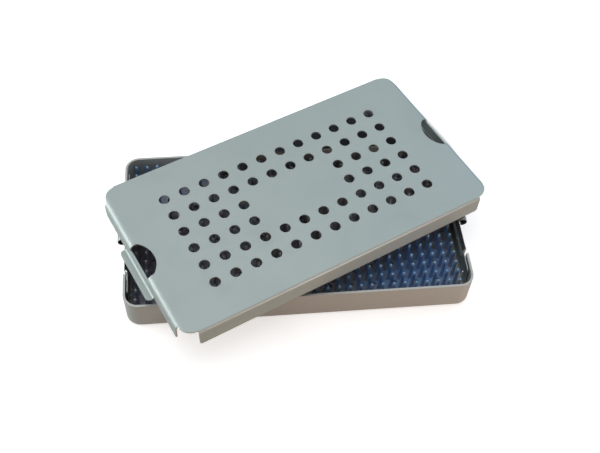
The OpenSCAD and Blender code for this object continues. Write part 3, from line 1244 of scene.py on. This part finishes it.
@dataclass
class FingerMat:
    """Silicone mat: a drained pad with a field of round-tipped fingers."""

    finish: bpy.types.Material
    punching: Pattern
    planting: Pattern
    pad: float = 1.6 * MM
    corner_radius: float = 5.0 * MM
    pad_round: float = 0.35 * MM
    pitch: float = 6.0 * MM
    columns: int = 30
    rows: int = 16
    foot_diameter: float = 2.3 * MM
    tip_diameter: float = 1.6 * MM
    flare: float = 0.5 * MM
    flare_height: float = 0.9 * MM
    throat_share: float = 0.3
    throat_height: float = 0.25 * MM
    sink: float = 0.15 * MM
    drain: float = 2.8 * MM
    lean: float = math.radians(1.1)
    seed: int = 7
    low: Vector = field(init=False)
    high: Vector = field(init=False)

    def __post_init__(self) -> None:
        """Takes the overall size from the frame."""
        self.low, self.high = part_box("finger_mat")

    @property
    def centre(self) -> Vector:
        """Middle of the pad's upper side."""
        middle = (self.low + self.high) / 2
        return Vector((middle.x, middle.y, self.low.z + self.pad))

    def _pad(self) -> bpy.types.Object:
        """Lofts the pad with a soft edge and punches its drain holes.

        Returns:
            The pad.
        """
        size = self.high - self.low
        soft = self.pad_round
        lower = [(soft + x, self.low.z + z) for x, z in arc((0.0, soft), soft, 270.0, 180.0, 3)]
        upper = [(soft + x, self.low.z + z) for x, z in arc((0.0, self.pad - soft), soft, 180.0, 90.0, 3)]
        shape = bmesh.new()
        rows = []
        for inset, level in lower + upper:
            outline = round_rectangle(size.x - 2 * inset, size.y - 2 * inset, self.corner_radius - inset, 8)
            rows.append([shape.verts.new((self.centre.x + x, self.centre.y + y, level)) for x, y in outline])
        close_rows(shape, rows)
        piece = made_object("finger_mat_skin", shape)
        return self.punching.apply(
            piece, Columns=(self.columns - 1) // 2, Rows=(self.rows - 1) // 2, Pitch=2 * self.pitch,
            Hole=self.drain, Sides=16, Depth=4 * self.pad, Centre=tuple(self.centre), Material=self.finish,
        )

    def _finger(self) -> bpy.types.Object:
        """Turns one finger with a flared foot, standing on the origin.

        Returns:
            The finger.
        """
        height = self.high.z - self.centre.z
        tip = self.tip_diameter / 2
        foot = self.foot_diameter / 2
        throat = (foot + self.throat_share * self.flare, self.throat_height)
        profile = [(foot + self.flare, -self.sink), throat, (foot, self.flare_height)]
        profile += arc((0.0, height - tip), tip, 0.0, 78.0, 3)
        return lathed("finger", profile, 8, Along.Z)

    def build(self) -> bpy.types.Object:
        """Makes the mat.

        Returns:
            The finished piece.
        """
        pad = smoothed(self._pad(), 30.0)
        fingers = self.planting.apply(
            smoothed(self._finger(), 60.0), Columns=self.columns, Rows=self.rows, Pitch=self.pitch,
            Lean=self.lean, Seed=self.seed, Centre=tuple(self.centre), Material=self.finish,
        )
        piece = joined("finger_mat_skin", [pad, fingers])
        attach(piece, "mat_body")
        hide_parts("finger_mat")
        return piece


@dataclass
class Latch:
    """Spring sheet inside an end wall: riveted strip, leaf pressed out in its middle, rolled finger."""

    finish: bpy.types.Material
    roll_shade_finish: bpy.types.Material
    end: End
    sheet: float = 0.35 * MM
    leaf_gap: float = 0.8 * MM
    kink: float = 1.6 * MM
    press_out: float = 1.5 * MM
    press_half: float = 26.0 * MM
    press_run: float = 3.0 * MM
    press_rise: float = 1.5 * MM
    press_drop: float = 6.5 * MM
    neck: float = 1.8 * MM
    row_step: float = 1.6 * MM
    row_margin: float = 0.6 * MM
    bend_below: float = 0.8 * MM
    bend_above: float = 1.4 * MM
    edge_round: float = 0.1 * MM
    hollow_inset: float = 0.8
    rim_facing: float = 0.7
    roll_diameter: float = 5.0 * MM
    roll_length: float = 19.0 * MM
    roll_turn: float = 285.0
    corner: float = 1.6 * MM
    strip_low: Vector = field(init=False)
    strip_high: Vector = field(init=False)
    leaf_low: Vector = field(init=False)
    leaf_high: Vector = field(init=False)

    def __post_init__(self) -> None:
        """Takes the places of the strip and the leaf from the frame's right-hand latch."""
        self.strip_low, self.strip_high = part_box("latch_strip_right")
        self.leaf_low, self.leaf_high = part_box("latch_leaf_right")

    @property
    def roll_centre(self) -> Point:
        """Centre of the rolled finger, in X and Z."""
        radius = self.roll_diameter / 2
        return (self.leaf_high.x - radius, self.leaf_high.z - radius)

    @property
    def leaf_top(self) -> float:
        """Height of the leaf's upper edge."""
        return self.roll_centre[1] - self.neck

    def _leaf_x(self, y: float, z: float) -> float:
        """Gives the middle of the sheet's thickness at a place on the latch.

        Args:
            y: Place along the wall.
            z: Height.

        Returns:
            Distance from the tray's middle.
        """
        strip = self.strip_high.x - self.sheet / 2
        leave = smooth((z - self.leaf_low.z) / self.kink)
        across = smooth((self.press_half + self.press_run - abs(y)) / self.press_run)
        press_z = self.leaf_top - self.press_drop
        up = smooth((z - press_z) / self.press_rise)
        return strip - leave * self.leaf_gap + across * up * self.press_out

    def _columns(self) -> list[float]:
        """Gives the places along the wall at which the sheet has points.

        Returns:
            The places, from front to rear.
        """
        half = self.strip_high.y
        edges = [0.0, self.roll_length / 2, self.press_half, self.press_half + self.press_run, half]
        steps = [5, 6, 6, 5]
        right = [a + (b - a) * i / n for a, b, n in zip(edges, edges[1:], steps) for i in range(n)] + [half]
        return [-y for y in reversed(right[1:])] + right

    def _levels(self) -> list[float]:
        """Gives the heights at which the sheet has points, below the neck.

        Returns:
            The heights.
        """
        bottom = self.strip_low.z
        top = self.strip_high.z
        flat = [bottom, bottom + self.row_step, bottom + 2 * self.row_step, top - self.row_margin]
        upper = [top + (self.leaf_top - top) * i / 16 for i in range(17)]
        return flat + upper

    def _roll_path(self) -> list[Point]:
        """Gives the line of the neck and of the rolled sheet, above the leaf's edge.

        Returns:
            X and Z of its points.
        """
        radius = (self.roll_diameter - self.sheet) / 2
        curl = arc(self.roll_centre, radius, 180.0, 180.0 - self.roll_turn, 30)
        start = (self._leaf_x(0.0, self.leaf_top), self.leaf_top)
        neck = [
            (start[0] + (curl[0][0] - start[0]) * smooth(i / 4), start[1] + (curl[0][1] - start[1]) * i / 4)
            for i in range(1, 4)
        ]
        return neck + curl

    def _half_width(self, z: float) -> float:
        """Gives how far the sheet reaches along the wall at a height, with its corners rounded.

        Args:
            z: The height.

        Returns:
            The reach to each side of the middle.
        """
        nearest = min(z - self.strip_low.z, self.leaf_top - z)
        into = max(0.0, self.corner - nearest)
        return self.strip_high.y - (self.corner - math.sqrt(max(0.0, self.corner**2 - into**2)))

    def _sheet(self) -> bpy.types.Object:
        """Lays out the middle of the bent sheet as one skin of quads.

        Returns:
            The skin.
        """
        shape = bmesh.new()
        columns = self._columns()
        rows = []
        for z in self._levels():
            scale = self._half_width(z) / self.strip_high.y
            rows.append([
                shape.verts.new((self._leaf_x(y, z), y * scale if abs(y) > self.press_half else y, z))
                for y in columns
            ])
        inner = [i for i, y in enumerate(columns) if abs(y) <= self.roll_length / 2 + 0.01 * MM]
        for low, high in zip(rows, rows[1:]):
            for i in range(len(columns) - 1):
                shape.faces.new((low[i], low[i + 1], high[i + 1], high[i]))
        last = [rows[-1][i] for i in inner]
        for x, z in self._roll_path():
            line = [shape.verts.new((x, columns[i], z)) for i in inner]
            for i in range(len(inner) - 1):
                shape.faces.new((last[i], last[i + 1], line[i + 1], line[i]))
            last = line
        if self.end is End.LEFT:
            bmesh.ops.scale(shape, vec=(-1.0, 1.0, 1.0), verts=shape.verts[:])
        return made_object(f"latch_sheet_{self.end.word}", shape)

    def build(self) -> bpy.types.Object:
        """Makes the latch.

        Returns:
            The finished piece.
        """
        piece = self._sheet()
        wall = piece.modifiers.new("thickness", "SOLIDIFY")
        wall.thickness = self.sheet
        wall.offset = 0.0
        wall.use_even_offset = True
        settle(piece)
        piece.data.materials.append(self.finish)
        piece.data.materials.append(self.roll_shade_finish)
        # The roll's hollow and its end rims get the near-black finish: painted shade.
        centre = Vector((self.end.value * self.roll_centre[0], self.roll_centre[1]))
        hollow = self.roll_diameter / 2 - self.hollow_inset * self.sheet
        for face in piece.data.polygons:
            reach = (face.center.xz - centre).length
            rim = reach < self.roll_diameter / 2 and abs(face.normal.y) > self.rim_facing
            face.material_index = int(reach < hollow or rim)
        eased(piece, self.edge_round)
        bend = (self.end.value * self.strip_low.x, 0.0, self.strip_high.z - self.bend_below)
        free = (bend[0], 0.0, self.leaf_low.z + self.bend_above)
        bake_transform(piece)
        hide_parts(f"latch_strip_{self.end.word}", f"latch_leaf_{self.end.word}")
        return piece


@dataclass
class Rivets:
    """The four rivets, each with a domed head inside and a flush head in the outside of the wall."""

    finish: bpy.types.Material
    pairing: Pattern
    shank: float = 2.4 * MM
    head: float = 4.2 * MM
    head_height: float = 1.1 * MM
    crown_share: float = 0.04
    flush: float = 3.8 * MM
    rim_round: float = 0.1 * MM
    rim_drop: float = 0.08 * MM
    dish: float = 0.12 * MM
    dish_middle: float = 0.16 * MM
    low: Vector = field(init=False)
    high: Vector = field(init=False)

    def __post_init__(self) -> None:
        """Takes the place of a rivet from the frame."""
        self.low, self.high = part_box("rivet_right_rear")

    @property
    def spacing(self) -> float:
        """Spacing of the two rivets of a latch."""
        return self.low.y + self.high.y

    @property
    def level(self) -> float:
        """Height of the rivets."""
        return (self.low.z + self.high.z) / 2

    def build(self) -> bpy.types.Object:
        """Makes the rivets.

        Returns:
            The finished piece.
        """
        face = self.high.x
        seat = self.low.x + self.head_height
        dome = (self.head**2 / 4 + self.head_height**2) / (2 * self.head_height)
        angle = math.degrees(math.asin(self.head / 2 / dome))
        swings = [math.radians(angle * i / 6) for i in range(1, 7)]
        profile = [(self.head * self.crown_share, self.low.x - face)]
        profile += [(dome * math.sin(a), self.low.x + dome - dome * math.cos(a) - face) for a in swings]
        profile += [(self.shank / 2, seat - face), (self.shank / 2, -(self.flush - self.shank) / 2)]
        profile += [(self.flush / 2, -self.rim_drop), (self.flush / 2 - self.rim_round, 0.0)]
        profile += [(self.flush / 3, -self.dish), (self.flush / 12, -self.dish_middle)]
        piece = lathed("rivet_set", profile, 28, Along.X)
        smoothed(piece, 50.0)
        self.pairing.apply(piece, Reach=face, Spacing=self.spacing, Height=self.level, Material=self.finish)
        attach(piece, "tray_body")
        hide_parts(*[f"rivet_{end.word}_{side}" for end in End for side in ("front", "rear")])
        return piece


# Studio


@dataclass
class Lamp:
    """One soft rectangular lamp that looks at the object."""

    name: str
    place: Triple
    size: Point
    power: float
    colour: Colour = (1.0, 1.0, 1.0)

    def build(self, target: Vector) -> None:
        """Makes the lamp.

        Args:
            target: The point that it looks at.
        """
        light = bpy.data.lights.new(self.name, "AREA")
        light.shape = "RECTANGLE"
        light.size, light.size_y = self.size
        light.energy = self.power
        light.color = self.colour
        lamp = bpy.data.objects.new(self.name, light)
        lamp.location = self.place
        lamp.rotation_euler = (target - Vector(self.place)).to_track_quat("-Z", "Y").to_euler()
        bpy.context.scene.collection.objects.link(lamp)


@dataclass
class Studio:
    """Pale floor, surroundings that the camera sees as white, soft lamps and the camera."""

    lamps: Sequence[Lamp]
    camera_place: Vector = field(default_factory=lambda: Vector((-38.15, -289.9, 419.6)) * MM)
    camera_target: Vector = field(default_factory=lambda: Vector((3.14, -5.25, 20.0)) * MM)
    camera_roll: float = math.radians(3.39)
    lens: float = 53.27
    sensor: float = 36.0
    floor_size: float = 6.0
    # Where the floor is painted with shadow, and how dark.
    shade_reach: float = 60 * MM
    shade_samples: int = 24
    under_tray: Patch = Patch((-93 * MM, -49.5 * MM), (93 * MM, 49.5 * MM), (1 * MM, 1 * MM))
    under_span: Point = (0.12, 0.30)
    behind_holes: Patch = Patch((0.0, 0.0), (109 * MM, 82 * MM), (16 * MM, 16 * MM))
    behind_cut: Patch = Patch((85 * MM, 4 * MM), (125 * MM, 54 * MM), (5 * MM, 13 * MM))
    behind_span: Point = (0.84, 0.97)
    dark: Colour = (0.03, 0.03, 0.032)
    pale: Colour = (0.90, 0.90, 0.90)
    glow: Colour = (0.52, 0.52, 0.52)
    front_side: Triple = (0.45, -0.88, 0.0)
    front_reach: float = 80 * MM
    surround: Colour = (0.24, 0.245, 0.25)
    warm_surround: Colour = (0.22, 0.17, 0.13)
    shine: Colour = (0.95, 1.0, 1.0)
    warm_shine: Colour = (0.36, 0.29, 0.24)
    bounce: Colour = (0.60, 0.62, 0.61)
    warm_bounce: Colour = (0.58, 0.48, 0.39)

    def _floor(self) -> None:
        """Makes the floor, seen as white, with painted shadow: dark under the tray and behind the lid's far
        holes.
        """
        half = self.floor_size / 2
        shape = bmesh.new()
        outline = [(-half, -half), (half, -half), (half, half), (-half, half)]
        shape.faces.new([shape.verts.new((x, y, -0.02 * MM)) for x, y in outline])
        floor = made_object("floor", shape)
        surface = Surface("pale floor")
        place = surface.place()
        turned = surface.place(LID_TURN)
        # Painted shadow: the floor is painted dark where little of the space above it is free, under the
        # tray and behind the lid's far holes and right cut-out.
        free = surface.free(self.shade_samples, self.shade_reach)
        past_holes = 1 - surface.within(turned, self.behind_holes)
        clear = past_holes * (1 - surface.within(turned, self.behind_cut))
        below = surface.within(place, self.under_tray) * (1 - surface.ramp(free, *self.under_span))
        behind = (1 - clear) * (1 - surface.ramp(free, *self.behind_span))
        lit = (1 - below) * (1 - behind)
        seen = self._seen(surface, VIEWING_RAYS)
        shown = surface.mix(lit, self.dark, self.pale)
        ahead = self._ahead(surface, place, 0.0, self.front_reach)
        bounced = surface.mix(ahead, self.bounce, self.warm_bounce)
        glow = surface.mix(lit * seen, (0.0, 0.0, 0.0), self.glow)
        floor.data.materials.append(surface.finish(
            Base_Color=surface.mix(seen, bounced, shown), Roughness=0.9, Specular_IOR_Level=0.0,
            Emission_Color=glow, Emission_Strength=1.0,
        ))

    @staticmethod
    def _seen(graph: Graph, kinds: Sequence[str]) -> Signal:
        """Tells rays that show the surroundings from rays that only light things.

        Args:
            graph: The graph that asks.
            kinds: The kinds of ray that show them.

        Returns:
            1 for a ray that shows them, 0 for one that doesn't.
        """
        total: Any = 0.0
        for kind in kinds:
            total = graph.add("ShaderNodeLightPath", output=f"Is {kind} Ray") + total
        return graph.add("ShaderNodeClamp", {}, {"Value": total})

    def _ahead(self, graph: Graph, place: Signal, low: float, high: float) -> Signal:
        """Tells how far a place or a direction lies towards the warm front, a little to the right.

        Args:
            graph: The graph that asks.
            place: The place or direction.
            low: Distance ahead at which the front begins.
            high: Distance ahead from which it is full.

        Returns:
            0 behind, 1 in front.
        """
        settings = {"operation": "DOT_PRODUCT"}
        ahead = graph.add("ShaderNodeVectorMath", settings, {0: place, 1: self.front_side}, "Value")
        return graph.ramp(ahead, low, high)

    def _world(self) -> None:
        """Lights the scene from all round, warmer from the front, and shows the camera plain white."""
        world = bpy.data.worlds.new("surroundings")
        world.use_nodes = True
        bpy.context.scene.world = world
        graph = Graph(world.node_tree)
        graph.tree.nodes.clear()
        direction = graph.add("ShaderNodeTexCoord", output="Generated")
        front = self._ahead(graph, direction, 0.15, 0.75)
        light = graph.mix(front, self.surround, self.warm_surround)
        shine = graph.mix(front, self.shine, self.warm_shine)
        lighting = graph.mix(self._seen(graph, ("Glossy",)), light, shine)
        colour = graph.mix(self._seen(graph, VIEWING_RAYS), lighting, (1.0, 1.0, 1.0))
        backdrop = graph.add("ShaderNodeBackground", {}, {"Color": colour, "Strength": 1.0})
        output = graph.tree.nodes.new("ShaderNodeOutputWorld")
        graph.tree.links.new(backdrop.socket, output.inputs["Surface"])

    def _camera(self) -> None:
        """Makes the camera at the viewing angle of the picture."""
        data = bpy.data.cameras.new("camera")
        data.lens = self.lens
        data.sensor_width = self.sensor
        data.clip_start = 10 * MM
        camera = bpy.data.objects.new("camera", data)
        look = (self.camera_target - self.camera_place).to_track_quat("-Z", "Y")
        camera.location = self.camera_place
        camera.rotation_mode = "QUATERNION"
        camera.rotation_quaternion = look @ Quaternion((0.0, 0.0, 1.0), self.camera_roll)
        bpy.context.scene.collection.objects.link(camera)
        bpy.context.scene.camera = camera

    def build(self) -> None:
        """Makes the studio."""
        bpy.context.scene.view_settings.view_transform = "Standard"
        self._floor()
        self._world()
        for lamp in self.lamps:
            lamp.build(self.camera_target)
        self._camera()


def main() -> None:
    """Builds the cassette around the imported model, reporting each piece."""
    logging.basicConfig(level=logging.INFO, format="%(name)s: %(message)s")
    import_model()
    Studio([
        Lamp("overhead", (-0.08, 0.18, 1.28), (1.4, 1.4), 6.9, (0.96, 1.0, 1.0)),
        Lamp("front", (0.42, -0.55, 0.12), (0.5, 0.2), 1.0, (1.0, 0.54, 0.36)),
        Lamp("front right", (0.26, -0.30, 0.06), (0.12, 0.08), 0.42, (1.0, 0.97, 0.94)),
        Lamp("rear right", (0.55, 0.45, 0.45), (0.5, 0.5), 1.1, (0.3, 0.62, 1.0)),
        Lamp("left", (-0.70, 0.10, 0.16), (0.5, 0.3), 3.6, (0.95, 1.0, 0.99)),
    ]).build()
    tray_metal = AnodisedFinish("anodised tray", (0.43, 0.435, 0.42), (0.40, 0.40, 0.38)).build()
    lid_metal = AnodisedFinish(
        "anodised lid", (0.345, 0.395, 0.385), (0.33, 0.38, 0.375), turn=LID_TURN,
    ).build()
    edge_metal = EdgeFinish("rubbed edge", (0.42, 0.44, 0.43)).build()
    mat_low, mat_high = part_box("finger_mat")
    silicone = SiliconeFinish(
        "blue silicone", (0.13, 0.28, 0.56), (0.10, 0.23, 0.48), (0.26, 0.52, 0.86),
        mat_low.z + FingerMat.pad, mat_high.z,
    ).build()
    spring = SpringFinish("spring steel", (0.29, 0.31, 0.305), (0.28, 0.24, 0.20)).build()
    # Near-black steel for the roll's hollow and end rims: painted shade.
    roll_shade = SpringFinish(
        "painted roll shade", (0.05, 0.05, 0.052), (0.04, 0.036, 0.032), (0.07, 0.07, 0.07),
        roughness=0.6, metallic=0.3,
    ).build()
    rivet_metal = RivetFinish("rivet metal", (0.82, 0.82, 0.80)).build()
    punching = perforation()
    rivets = Rivets(rivet_metal, facing_pairs())
    tray = Tray(tray_metal, edge_metal, punching)
    pieces: list[Callable[[], bpy.types.Object]] = [
        lambda: tray.build(rivets.spacing, rivets.level),
        Lid(lid_metal, edge_metal, punching, tray).build,
        FingerMat(silicone, punching, finger_field()).build,
        Latch(spring, roll_shade, End.LEFT).build,
        Latch(spring, roll_shade, End.RIGHT).build,
        rivets.build,
    ]
    for build in pieces:
        piece = build()
        LOG.info("%s: %d faces", piece.name, len(piece.data.polygons))


if __name__ == "__main__":
    main()
